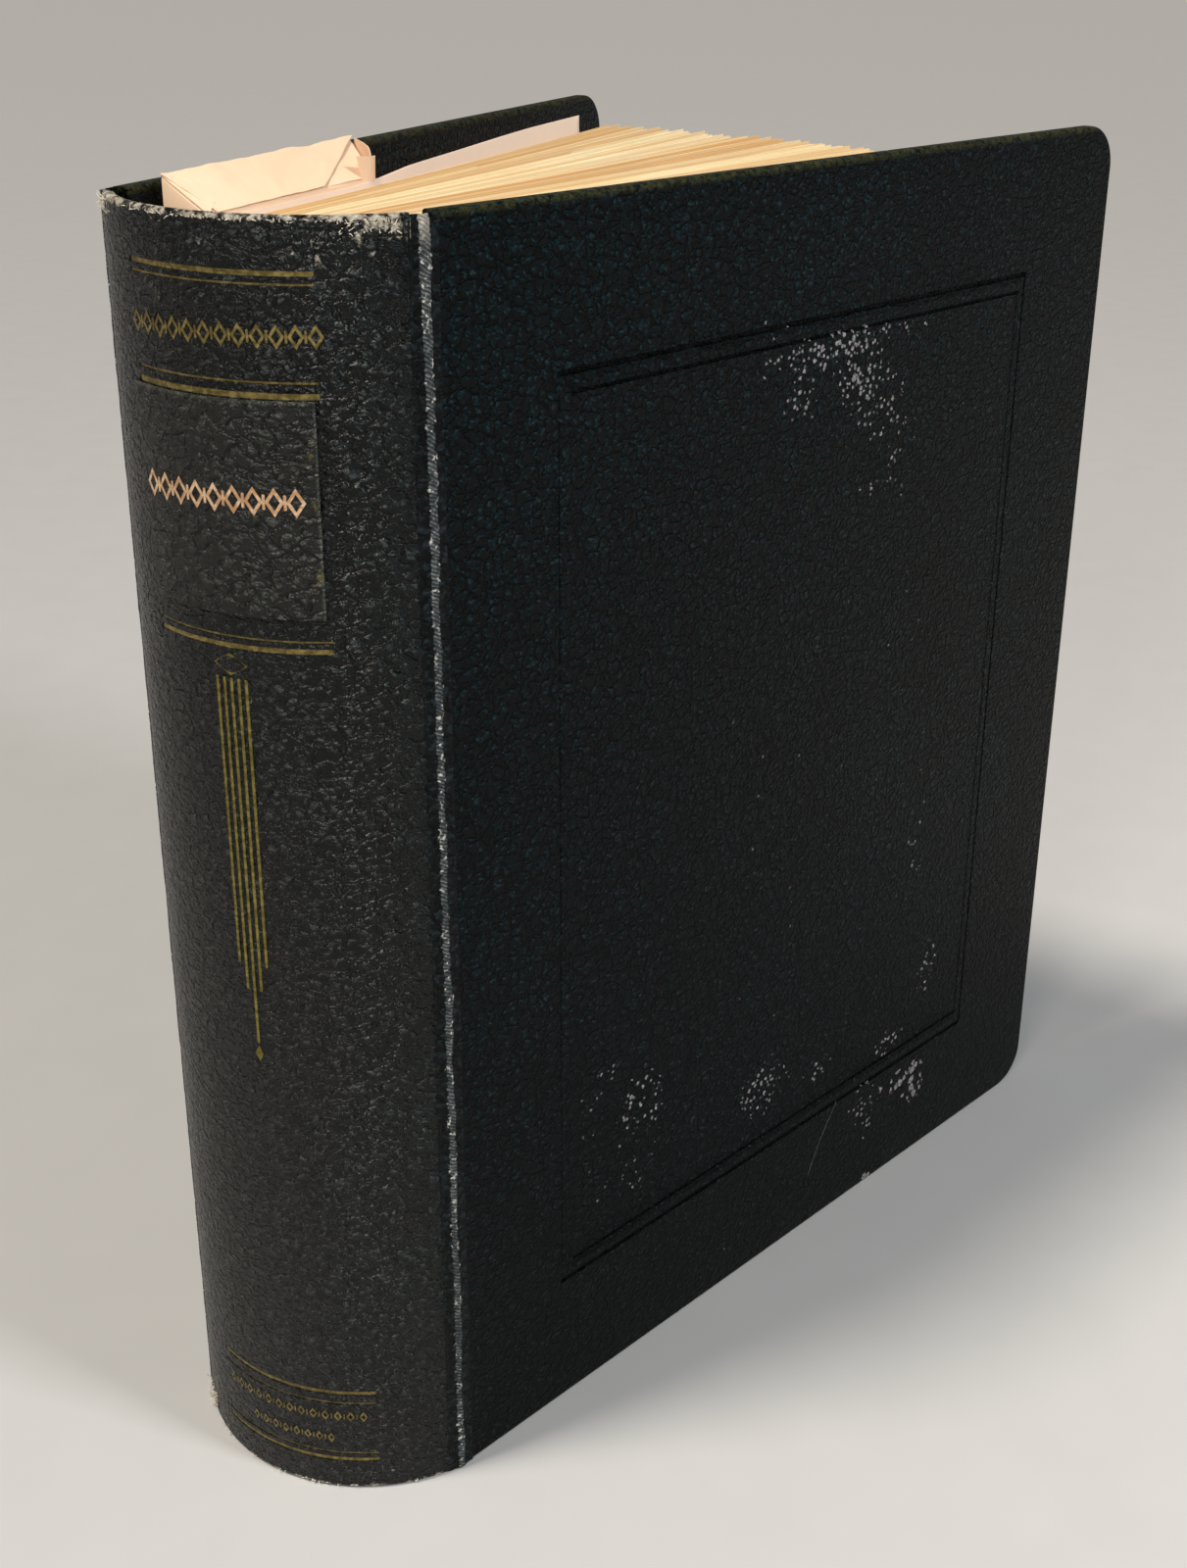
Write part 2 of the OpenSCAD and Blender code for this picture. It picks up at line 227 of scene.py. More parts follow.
def patch(tree, place, centre, reach):
    """Share from 1 in the middle of an oval patch to 0 outside it, in a cover's own y and z."""
    off = add(tree, "ShaderNodeVectorMath", {0: place, 1: (0, *centre)}, operation="SUBTRACT").outputs[0]
    flat = add(tree, "ShaderNodeVectorMath", {0: off, 1: (0, 1 / reach[0], 1 / reach[1])}, operation="MULTIPLY")
    far = add(tree, "ShaderNodeVectorMath", {0: flat.outputs[0]}, operation="LENGTH").outputs["Value"]
    return fade(tree, far, 0.35, 1.1, 1.0, 0.0)


def chips(tree, place, patches, cell, size):
    """Small bare dots: a cell of a cloud of points is bare if its random number is under the patches' share."""
    share = None
    for centre, reach, thick in patches:
        here = times(tree, patch(tree, place, centre, reach), thick)
        share = here if share is None else most(tree, share, here)
    bend = add(tree, "ShaderNodeTexNoise", {"Vector": place, "Scale": 2.2 / cell, "Detail": 3.0, "Roughness": 0.6})
    off = add(tree, "ShaderNodeVectorMath", {0: bend.outputs["Color"], "Scale": 0.85 * cell}, operation="SCALE")
    bent = add(tree, "ShaderNodeVectorMath", {0: place, 1: off.outputs[0]}, operation="ADD").outputs[0]
    cloud = add(tree, "ShaderNodeTexVoronoi", {"Vector": bent, "Scale": 1 / cell}, feature="F1")
    own = add(tree, "ShaderNodeSeparateColor", {0: cloud.outputs["Color"]})
    chosen = fade(tree, minus(tree, share, own.outputs["Red"]), 0.0, 0.04)
    grown = times(tree, plus(tree, times(tree, own.outputs["Green"], 0.6), 0.55), size)
    dot = fade(tree, minus(tree, cloud.outputs["Distance"], grown), -0.05, 0.03, 1.0, 0.0)
    return times(tree, chosen, dot)


def leather(name, seam, turn, out, worn=False):
    """A cover's cloth. seam and turn say where the cover is, and out which way its outer face looks."""
    made, tree, shader = finish_of(name)
    place = own_place(tree, seam, turn)
    high, fine = pebbles(tree, place, 0.80, (1, 1, 1.25))
    cloud = haze(tree, place, 7.0, 3.0)
    axes = add(tree, "ShaderNodeSeparateXYZ", {0: place})
    # The near-black cloth turns dark teal in random clouds, and more toward the top and the seam, where the teal is a
    # painted bluish reflection.
    blue = fade(tree, plus(tree, cloud, minus(tree, times(tree, axes.outputs["Z"], 1.7),
                times(tree, axes.outputs["Y"], 1.5))), 0.35, 0.90)
    colour = tint(tree, blue, (0.0044, 0.0048, 0.0046), (0.0020, 0.0170, 0.0225))
    # Painted shade: the creases of the grain are darkened almost to black.
    colour = tint(tree, fade(tree, high, 0.30, 0.90), (0.0007, 0.0012, 0.0014), colour)
    # The tops of the pebbles are painted lighter: partly rubbed wear, partly painted highlight.
    pebble_tops_wear_and_highlight = times(tree, fade(tree, high, 0.74, 0.98), fade(tree, cloud, 0.35, 0.65, 0.35, 0.65))
    colour = tint(tree, pebble_tops_wear_and_highlight, colour, (0.029, 0.040, 0.042))
    # Painted shade: the cloth sunk into the frame's pressed lines is darkened almost to black.
    groove_shade = fade(tree, times(tree, axes.outputs["X"], -out), 0.00012, 0.00030)
    for axis, low, top in (("Y", 0.030, 0.222), ("Z", 0.034, 0.284)):
        groove_shade = times(tree, groove_shade, fade(tree, axes.outputs[axis], low, low + 0.001))
        groove_shade = times(tree, groove_shade, fade(tree, axes.outputs[axis], top - 0.001, top, 1.0, 0.0))
    colour = tint(tree, times(tree, groove_shade, 0.9), colour, (0.0002, 0.0003, 0.0003))
    # The top, fore and bottom edges are painted olive in broken patches: partly rubbed wear, partly painted highlight
    # on the rounded edges.
    rim = most(tree, fade(tree, axes.outputs["Z"], HEIGHT - 0.0020, HEIGHT - 0.0006),
               fade(tree, axes.outputs["Y"], WIDTH - 0.0016, WIDTH - 0.0002))
    rim = most(tree, rim, fade(tree, axes.outputs["Z"], 0.0002, 0.0014, 1.0, 0.0))
    scuff = haze(tree, place, 420.0, 5.0, 0.7)
    rubbed = times(tree, rim, fade(tree, scuff, 0.36, 0.58))
    colour = tint(tree, times(tree, rubbed, 0.7), colour, (0.050, 0.050, 0.016))
    relief = plus(tree, high, times(tree, fine, 0.16))
    rough = plus(tree, times(tree, fine, 0.20), 0.28)
    if worn:
        small = chips(tree, place, (((0.1300, 0.2705), (0.030, 0.0060), 0.62),
                      ((0.1370, 0.2733), (0.036, 0.0020), 0.55),
                      ((0.0560, 0.0740), (0.024, 0.026), 0.09), ((0.1440, 0.2640), (0.013, 0.011), 0.60),
                      ((0.1520, 0.2540), (0.015, 0.013), 0.40), ((0.1205, 0.2600), (0.008, 0.011), 0.42),
                      ((0.1620, 0.2400), (0.010, 0.018), 0.24), ((0.1500, 0.2330), (0.010, 0.005), 0.22),
                      ((0.1680, 0.2720), (0.008, 0.004), 0.30), ((0.1900, 0.2450), (0.012, 0.010), 0.08),
                      ((0.1060, 0.2790), (0.012, 0.005), 0.16), ((0.0670, 0.0800), (0.012, 0.013), 0.42),
                      ((0.0500, 0.0920), (0.008, 0.010), 0.22), ((0.0630, 0.0560), (0.005, 0.005), 0.34),
                      ((0.0470, 0.0700), (0.007, 0.006), 0.14), ((0.1170, 0.0600), (0.014, 0.012), 0.42),
                      ((0.1420, 0.0545), (0.008, 0.005), 0.45), ((0.1780, 0.0475), (0.010, 0.007), 0.42),
                      ((0.1960, 0.0680), (0.007, 0.014), 0.36), ((0.1860, 0.1200), (0.008, 0.035), 0.14),
                      ((0.1820, 0.1520), (0.006, 0.012), 0.14), ((0.1680, 0.0290), (0.010, 0.014), 0.40),
                      ((0.1000, 0.0100), (0.006, 0.004), 0.20), ((0.1450, 0.1450), (0.085, 0.110), 0.035)),
                      0.00140, 0.44)
        large = chips(tree, place, (((0.1945, 0.0255), (0.0062, 0.0100), 0.95),
                      ((0.1860, 0.0280), (0.0070, 0.0080), 0.62),
                      ((0.1730, 0.0290), (0.0080, 0.0060), 0.25), ((0.1715, 0.0016), (0.0030, 0.0030), 0.95),
                      ((0.1400, 0.2640), (0.0040, 0.0070), 0.35)), 0.0027, 0.50)
        bare = most(tree, small, large)
        # A scratch near the foot: its y is a curve in z, below its top end.
        scratch_top = 0.0389
        over = minus(tree, axes.outputs["Z"], scratch_top)
        under = most(tree, minus(tree, scratch_top, axes.outputs["Z"]), 0.0)
        bow = plus(tree, 0.1540, minus(tree, times(tree, over, 0.80),
                   times(tree, calc(tree, "POWER", under, 2.0), -9.0)))
        line = fade(tree, calc(tree, "ABSOLUTE", minus(tree, axes.outputs["Y"], bow)), 0.00012, 0.00034, 1.0, 0.0)
        line = times(tree, line, times(tree, fade(tree, axes.outputs["Z"], 0.0165, 0.0185),
                    fade(tree, axes.outputs["Z"], 0.0375, 0.0390, 1.0, 0.0)))
        bare = most(tree, bare, times(tree, line, 0.28))
        bare = times(tree, bare, fade(tree, axes.outputs["X"], -0.0012, -0.0006))
        colour = tint(tree, bare, colour, (0.33, 0.305, 0.31))
        relief = minus(tree, relief, times(tree, bare, 0.35))
        rough = plus(tree, rough, times(tree, bare, 0.4))
    tree.links.new(colour, shader.inputs["Base Color"])
    tree.links.new(rough, shader.inputs["Roughness"])
    emboss(tree, shader, relief, 1.0, 0.00140)
    shader.inputs["Specular IOR Level"].default_value = 0.08
    return made


def choose(obj, kind, test):
    """Selects the faces or edges of a mesh whose centre and direction pass a test, and goes to edit mode."""
    hold(obj)
    bpy.ops.object.mode_set(mode="EDIT")
    bpy.ops.mesh.select_mode(type=kind)
    bpy.ops.mesh.select_all(action="DESELECT")
    bpy.ops.object.mode_set(mode="OBJECT")
    if kind == "FACE":
        for f in obj.data.polygons:
            f.select = bool(test(f.center, f.normal))
    else:
        points = obj.data.vertices
        for e in obj.data.edges:
            a, b = points[e.vertices[0]].co, points[e.vertices[1]].co
            e.select = bool(test((a + b) / 2, (b - a).normalized()))
    bpy.ops.object.mode_set(mode="EDIT")


def cut(obj, point, normal):
    """Cuts every face of a mesh along a plane."""
    hold(obj)
    bpy.ops.object.mode_set(mode="EDIT")
    bpy.ops.mesh.select_all(action="SELECT")
    bpy.ops.mesh.bisect(plane_co=point, plane_no=normal)
    bpy.ops.object.mode_set(mode="OBJECT")


def settle(obj):
    """Puts a finished object's place into its mesh."""
    hold(obj)
    bpy.ops.object.transform_apply(location=True, rotation=True, scale=True)


# The frame's pressed lines: y from, y to, z from, z to, and depth.
pressed = [(0.0360, 0.2180, 0.2788, 0.2802, 0.00042), (0.0360, 0.2180, 0.0378, 0.0392, 0.00042),
           (0.0405, 0.2150, 0.2744, 0.2754, 0.00042), (0.0405, 0.2150, 0.0431, 0.0441, 0.00042),
           (0.0362, 0.0367, 0.0392, 0.2788, 0.00014), (0.2171, 0.2180, 0.0392, 0.2788, 0.00026),
           (0.2141, 0.2148, 0.0441, 0.2744, 0.00014)]


def wrapped_board(name, out):
    """A cover in its own place: its outer face is x = 0 and looks along out."""
    deselect()
    bpy.ops.mesh.primitive_cube_add(size=1, location=(-out * THICK / 2, (HOLD + WIDTH) / 2, HEIGHT / 2),
                                    scale=(THICK, WIDTH - HOLD, HEIGHT))
    obj = bpy.context.object
    obj.name = name
    settle(obj)
    choose(obj, "EDGE", lambda c, d: abs(d.x) > 0.9 and c.y > WIDTH - 0.001)
    bpy.ops.mesh.bevel(offset=CORNER, segments=14)
    choose(obj, "EDGE", lambda c, d: abs(d.x) < 0.5 and (c.y > HOLD + 0.001))
    bpy.ops.mesh.bevel(offset=0.0011, segments=4)
    for y in sorted({v for p in pressed for v in p[:2]} | {WIDTH - TURN_IN}):
        cut(obj, (0, y, 0), (0, 1, 0))
    for z in sorted({v for p in pressed for v in p[2:4]} | {TURN_IN, HEIGHT - TURN_IN}):
        cut(obj, (0, 0, z), (0, 0, 1))
    for deep in sorted({p[4] for p in pressed}):
        inside = lambda c: any(p[0] < c.y < p[1] and p[2] < c.z < p[3] for p in pressed if p[4] == deep)
        choose(obj, "FACE", lambda c, n: n.x * out > 0.9 and abs(c.x) < 1e-5 and inside(c))
        bpy.ops.mesh.inset(thickness=0.00020, depth=-deep)
    between = lambda c: 0.0405 < c.y < 0.2141 and (0.2754 < c.z < 0.2788 or 0.0392 < c.z < 0.0431)
    choose(obj, "FACE", lambda c, n: n.x * out > 0.9 and abs(c.x) < 1e-5 and between(c))
    bpy.ops.mesh.inset(thickness=0.0012, depth=0.00042)
    choose(obj, "FACE", lambda c, n: n.x * out < -0.9 and abs(c.x + out * THICK) < 1e-5
           and c.y < WIDTH - TURN_IN and TURN_IN < c.z < HEIGHT - TURN_IN)
    bpy.ops.mesh.extrude_region_move(TRANSFORM_OT_translate={"value": (out * 0.0005, 0, 0)})
    bpy.ops.object.mode_set(mode="OBJECT")
    bpy.ops.object.shade_smooth_by_angle(angle=math.radians(32))
    return obj


def hang(obj, out, splay):
    """Sets a cover, made in its own place, at its seam."""
    obj.rotation_euler = (0, 0, -out * splay)
    obj.location = (out * SEAM_X, SEAM_Y, 0)
    settle(obj)


front_leather = wrapped_board("front_leather", 1)
hang(front_leather, 1, FRONT_SPLAY)
front_leather.data.materials.append(leather("front_leather_cloth", (SEAM_X, SEAM_Y), -FRONT_SPLAY, 1, worn=True))
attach(front_leather, "front_cover")
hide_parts("front_skin")

back_leather = wrapped_board("back_leather", -1)
hang(back_leather, -1, BACK_SPLAY)
back_leather.data.materials.append(leather("back_leather_cloth", (-SEAM_X, SEAM_Y), BACK_SPLAY, -1))
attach(back_leather, "back_cover")
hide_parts("back_skin")

# ---- Spine leather ----
# One piece of the same cloth over the curved spine board, folded in at head and tail. Pairs of gilt lines are
# pressed across it. The head, the tail and all four corners are worn to the white backing.
CENTRE, RADIUS, HALF_ARC = 0.04467, 0.046173, math.radians(51)


def on_spine(s, z, lift=0.0):
    """A point on the spine: s along the curve from its middle, z up, lift out of the surface."""
    a = s / RADIUS
    return Vector(((RADIUS + lift) * math.sin(a), CENTRE - (RADIUS + lift) * math.cos(a), z))


gilt_lines = [(0.3054, 0.3066, 28), (0.3036, 0.3042, 28), (0.2843, 0.2849, 28), (0.2812, 0.2826, 28),
              (0.2297, 0.2303, 28), (0.2272, 0.2285, 28), (0.0298, 0.0311, 29), (0.0269, 0.0276, 29),
              (0.0110, 0.0117, 29), (0.0086, 0.0099, 29)]
deselect()
bpy.ops.mesh.primitive_cylinder_add(vertices=360, radius=RADIUS, depth=HEIGHT - 0.0020, end_fill_type="NOTHING",
                                    location=(0, CENTRE, HEIGHT / 2), rotation=(0, 0, math.radians(0.5)))
spine_leather = bpy.context.object
spine_leather.name = "spine_leather"
settle(spine_leather)
choose(spine_leather, "FACE", lambda c, n: abs(math.atan2(c.x, CENTRE - c.y)) > HALF_ARC)
bpy.ops.mesh.delete(type="FACE")
for z in sorted({v for p in gilt_lines for v in p[:2]}):
    cut(spine_leather, (0, 0, z), (0, 0, 1))
for end, sign in ((HEIGHT - 0.0010, 1), (0.0010, -1)):
    choose(spine_leather, "EDGE", lambda c, d: abs(d.z) < 0.1 and abs(c.z - end) < 1e-5)
    radius = RADIUS
    for inward, rise in ((0.0002, 0.0006), (0.0006, 0.0004), (0.0010, 0.0), (0.0007, -0.0003),
                         (0.0003, -0.0008), (0.0, -0.013)):
        bpy.ops.mesh.extrude_region_move(TRANSFORM_OT_translate={"value": (0, 0, sign * rise)})
        share = (radius - inward) / radius
        radius -= inward
        bpy.ops.transform.resize(value=(share, share, 1), center_override=(0, CENTRE, 0))
    bpy.ops.object.mode_set(mode="OBJECT")


def spine_leather_finish():
    made, tree, shader = finish_of("spine_leather_cloth")
    place = add(tree, "ShaderNodeTexCoord").outputs["Object"]
    high, fine = pebbles(tree, place, 1.15, (1.0, 1.0, 1.45))
    axes = add(tree, "ShaderNodeSeparateXYZ", {0: place})
    cloud = haze(tree, place, 11.0, 3.0)
    blue = fade(tree, plus(tree, cloud, times(tree, axes.outputs["X"], 7.0)), 0.45, 0.75)
    colour = tint(tree, blue, (0.0092, 0.0086, 0.0062), (0.0070, 0.0125, 0.0138))
    # Painted shade: the creases of the grain are darkened almost to black.
    colour = tint(tree, fade(tree, high, 0.30, 0.88), (0.0007, 0.0012, 0.0012), colour)
    # The tops of the pebbles are painted lighter grey: partly rubbed wear, partly painted highlight.
    pebble_tops_wear_and_highlight = times(tree, fade(tree, high, 0.72, 1.0), fade(tree, cloud, 0.35, 0.65, 0.30, 0.60))
    colour = tint(tree, pebble_tops_wear_and_highlight, colour, (0.056, 0.062, 0.058))
    scuff = haze(tree, place, 430.0, 5.0, 0.7)
    uneven = haze(tree, place, 85.0, 2.0)
    left = fade(tree, axes.outputs["X"], -0.0352, -0.0300, 1.0, 0.0)
    right = fade(tree, axes.outputs["X"], 0.0240, 0.0345)
    head = fade(tree, axes.outputs["Z"], HEIGHT - 0.0017, HEIGHT - 0.0006)
    tail = fade(tree, axes.outputs["Z"], 0.0006, 0.0018, 1.0, 0.0)
    corner = most(tree, times(tree, left, fade(tree, axes.outputs["Z"], HEIGHT - 0.0046, HEIGHT - 0.0022)),
                  times(tree, right, fade(tree, axes.outputs["Z"], HEIGHT - 0.0075, HEIGHT - 0.0010, 0.0, 0.85)))
    corner = most(tree, corner, times(tree, left, fade(tree, axes.outputs["Z"], 0.0006, 0.0085, 0.9, 0.0)))
    worn = most(tree, most(tree, head, times(tree, tail, 0.75)), corner)
    worn = plus(tree, worn, times(tree, minus(tree, uneven, 0.56), 1.5))
    bare = fade(tree, plus(tree, scuff, times(tree, worn, 0.24)), 0.63, 0.72)
    near_edge = most(tree, fade(tree, axes.outputs["Z"], HEIGHT - 0.0105, HEIGHT - 0.0090),
                     fade(tree, axes.outputs["Z"], 0.0080, 0.0090, 1.0, 0.0))
    bare = times(tree, bare, near_edge)
    threads = tint(tree, fade(tree, scuff, 0.35, 0.75), (0.22, 0.18, 0.125), (0.66, 0.60, 0.50))
    colour = tint(tree, bare, colour, threads)
    tree.links.new(colour, shader.inputs["Base Color"])
    rough = plus(tree, times(tree, fine, 0.20), 0.17)
    tree.links.new(plus(tree, rough, times(tree, bare, 0.45)), shader.inputs["Roughness"])
    relief = plus(tree, high, times(tree, fine, 0.16))
    relief = plus(tree, relief, times(tree, times(tree, bare, scuff), 0.9))
    emboss(tree, shader, relief, 1.0, 0.00170)
    shader.inputs["Specular IOR Level"].default_value = 0.21
    return made


def gilding(name, bright, dull, rubbed, metal=0.75):
    """Foil pressed into the grain, broken where the pebbles are rubbed."""
    made, tree, shader = finish_of(name)
    place = add(tree, "ShaderNodeTexCoord").outputs["Object"]
    high = pebbles(tree, place, 1.15, (1.0, 1.0, 1.45))[0]
    wear = haze(tree, place, 900.0, 4.0, 0.75)
    drift = haze(tree, place, 55.0, 2.0)
    gone = fade(tree, plus(tree, wear, times(tree, drift, 0.5)), rubbed - 0.08, rubbed + 0.08)
    foil = tint(tree, fade(tree, plus(tree, times(tree, high, 0.3), wear), 0.45, 0.85), dull, bright)
    tree.links.new(tint(tree, gone, foil, (0.012, 0.014, 0.008)), shader.inputs["Base Color"])
    tree.links.new(times(tree, minus(tree, 1.0, gone), metal), shader.inputs["Metallic"])
    tree.links.new(plus(tree, times(tree, wear, 0.25), 0.30), shader.inputs["Roughness"])
    emboss(tree, shader, plus(tree, wear, times(tree, high, 0.3)), 0.5, 0.00018)
    return made


gilt = gilding("dull_gilt", (0.30, 0.225, 0.075), (0.105, 0.080, 0.022), 0.98)
spine_leather.data.materials.append(spine_leather_finish())
spine_leather.data.materials.append(gilt)
on_line = lambda c: any(p[0] < c.z < p[1] and abs(math.degrees(math.atan2(c.x, CENTRE - c.y))) < p[2]
                        for p in gilt_lines)
choose(spine_leather, "FACE", lambda c, n: (c.xy - Vector((0, CENTRE))).length > RADIUS - 0.0001 and on_line(c))
bpy.ops.mesh.inset(thickness=0.00009, depth=-0.00024)
spine_leather.active_material_index = 1
bpy.ops.object.material_slot_assign()
bpy.ops.object.mode_set(mode="OBJECT")
bpy.ops.object.shade_smooth_by_angle(angle=math.radians(35))
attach(spine_leather, "binding")
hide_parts("spine_skin")

# ---- Gilt tooling on the spine ----
# Rows of small lozenges and bars, and a slim bundle of upright lines, pressed in foil below each pair of lines.


def curve_onto_spine(obj):
    """Wraps a flat mesh, drawn in x and z with its thickness in y, onto the spine."""
    for v in obj.data.vertices:
        v.co = on_spine(v.co.x, v.co.z, -v.co.y)


def tooled_row(name, centre, span, tall, count, finish, line=0.0007):
    """A row of open lozenges with an upright bar between each two."""
    marks = []
    step = span / (count - 1)
    for k in range(count):
        place = (centre[0] - span / 2 + step * k, 0, centre[1])
        deselect()
        if k % 2 == 0:
            bpy.ops.mesh.primitive_cylinder_add(vertices=4, radius=tall / 2, depth=0.00010,
                                                rotation=(math.pi / 2, 0, 0), location=place)
            bpy.context.object.scale = (0.66, 1, 1)
            settle(bpy.context.object)
            choose(bpy.context.object, "FACE", lambda c, n: abs(n.y) > 0.9)
            bpy.ops.mesh.inset(thickness=line)
            bpy.ops.mesh.bridge_edge_loops()
            bpy.ops.object.mode_set(mode="OBJECT")
        else:
            bpy.ops.mesh.primitive_cube_add(size=1, location=place, scale=(line * 0.9, 0.00010, tall * 0.52))
            settle(bpy.context.object)
            choose(bpy.context.object, "EDGE", lambda c, d: abs(d.y) > 0.9)
            bpy.ops.mesh.bevel(offset=line * 0.3, segments=2)
            bpy.ops.object.mode_set(mode="OBJECT")
        marks.append(bpy.context.object)
    row = joined(marks, name)
    curve_onto_spine(row)
    row.data.materials.append(finish)
    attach(row, "binding")
    return row


copper = gilding("bright_gilt", (0.82, 0.58, 0.38), (0.50, 0.27, 0.13), 1.20, 0.55)
tooled_row("tooling_head", (0.0004, 0.2938), 0.0430, 0.0050, 23, gilt, 0.0006)
label_row = tooled_row("tooling_label", (-0.0018, 0.2602), 0.0360, 0.0062, 17, copper, 0.0007)
for v in label_row.data.vertices:
    out = v.co.xy - Vector((0, CENTRE))
    v.co.xy = Vector((0, CENTRE)) + out * (1 + 0.00030 / out.length)
tooled_row("tooling_tail_upper", (0.0, 0.0231), 0.0390, 0.0032, 25, gilt, 0.0004)
tooled_row("tooling_tail_lower", (0.0, 0.0160), 0.0220, 0.0030, 15, gilt, 0.0004)

strokes = []
for s, low in ((-0.0046, 0.1505), (-0.0028, 0.1440), (-0.0010, 0.1300), (0.0008, 0.1440), (0.0026, 0.1505)):
    deselect()
    bpy.ops.mesh.primitive_cube_add(size=1, location=(s, 0, (low + 0.2205) / 2), scale=(0.0007, 0.0001, 0.2205 - low))
    settle(bpy.context.object)
    strokes.append(bpy.context.object)
for z, tall in ((0.2236, 0.0050), (0.1272, 0.0044)):
    deselect()
    bpy.ops.mesh.primitive_cylinder_add(vertices=4, radius=tall / 2, depth=0.0001,
                                        rotation=(math.pi / 2, 0, 0), location=(-0.0010, 0, z))
    bpy.context.object.scale = (1.7 if z > 0.2 else 0.5, 1, 1)
    settle(bpy.context.object)
    strokes.append(bpy.context.object)
upright = joined(strokes, "tooling_upright")
curve_onto_spine(upright)
upright.data.materials.append(gilding("upright_gilt", (0.27, 0.22, 0.05), (0.11, 0.09, 0.015), 1.06))
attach(upright, "binding")

# ---- Seams ----
# At each seam the leather cloth is glued over a strip of twill. It is rubbed through to the grey-white twill in
# a line down the whole seam, widest at the head.


def joint_strip(name, out, splay):
    """The cloth round a seam: a flat grid bent along the seam's curve. Its UV map is in metres."""
    seam = Vector((out * SEAM_X, SEAM_Y))
    end = math.asin(SEAM_X / RADIUS)
    from_cover = Vector((out * math.cos(splay), -math.sin(splay)))
    along_cover = Vector((out * math.sin(splay), math.cos(splay)))
    across, up = 22, 158
    deselect()
    bpy.ops.mesh.primitive_grid_add(x_subdivisions=across, y_subdivisions=up, size=1)
    strip = bpy.context.object
    strip.name = name
    spread = 0.0043
    for v in strip.data.vertices:
        d, z = v.co.x * 2 * spread, (v.co.y + 0.5) * (HEIGHT - 0.0006) + 0.0003
        if d < 0:
            a = end + d / RADIUS
            p = Vector((out * RADIUS * math.sin(a), CENTRE - RADIUS * math.cos(a)))
            n = Vector((out * math.sin(a), -math.cos(a)))
        else:
            p = seam + along_cover * d
            n = from_cover
        n = (n * (1 - min(1, max(0, 0.5 + d / 0.002))) + from_cover * min(1, max(0, 0.5 + d / 0.002))).normalized()
        ridge = math.exp(-(d / 0.0009) ** 2)
        rough = (noise.noise(Vector((d * 900, z * 500, out * 5))) * 0.00008
                 + noise.noise(Vector((d * 300, z * 90, 3))) * 0.0001)
        groove = math.exp(-((abs(d) - 0.0022) / 0.0009) ** 2)
        lift = 0.00006 + 0.00026 * ridge - 0.00014 * groove + rough * (0.4 + ridge)
        if abs(d) > 0.0036:
            lift -= 0.0004 * (abs(d) - 0.0036) / 0.0007
        p = p + n * lift
        v.co = (p.x, p.y, z)
    for loop in strip.data.loops:
        uv = strip.data.uv_layers[0].data[loop.index]
        uv.uv = ((uv.uv[0] - 0.5) * 2 * spread, uv.uv[1] * HEIGHT)
    hold(strip)
    bpy.ops.object.mode_set(mode="EDIT")
    bpy.ops.mesh.select_all(action="SELECT")
    if out < 0:
        bpy.ops.mesh.flip_normals()
    bpy.ops.object.mode_set(mode="OBJECT")
    wall = strip.modifiers.new("wall", "SOLIDIFY")
    wall.thickness, wall.offset = 0.0004, -1
    bpy.ops.object.modifier_apply(modifier="wall")
    bpy.ops.object.shade_smooth()
    return strip


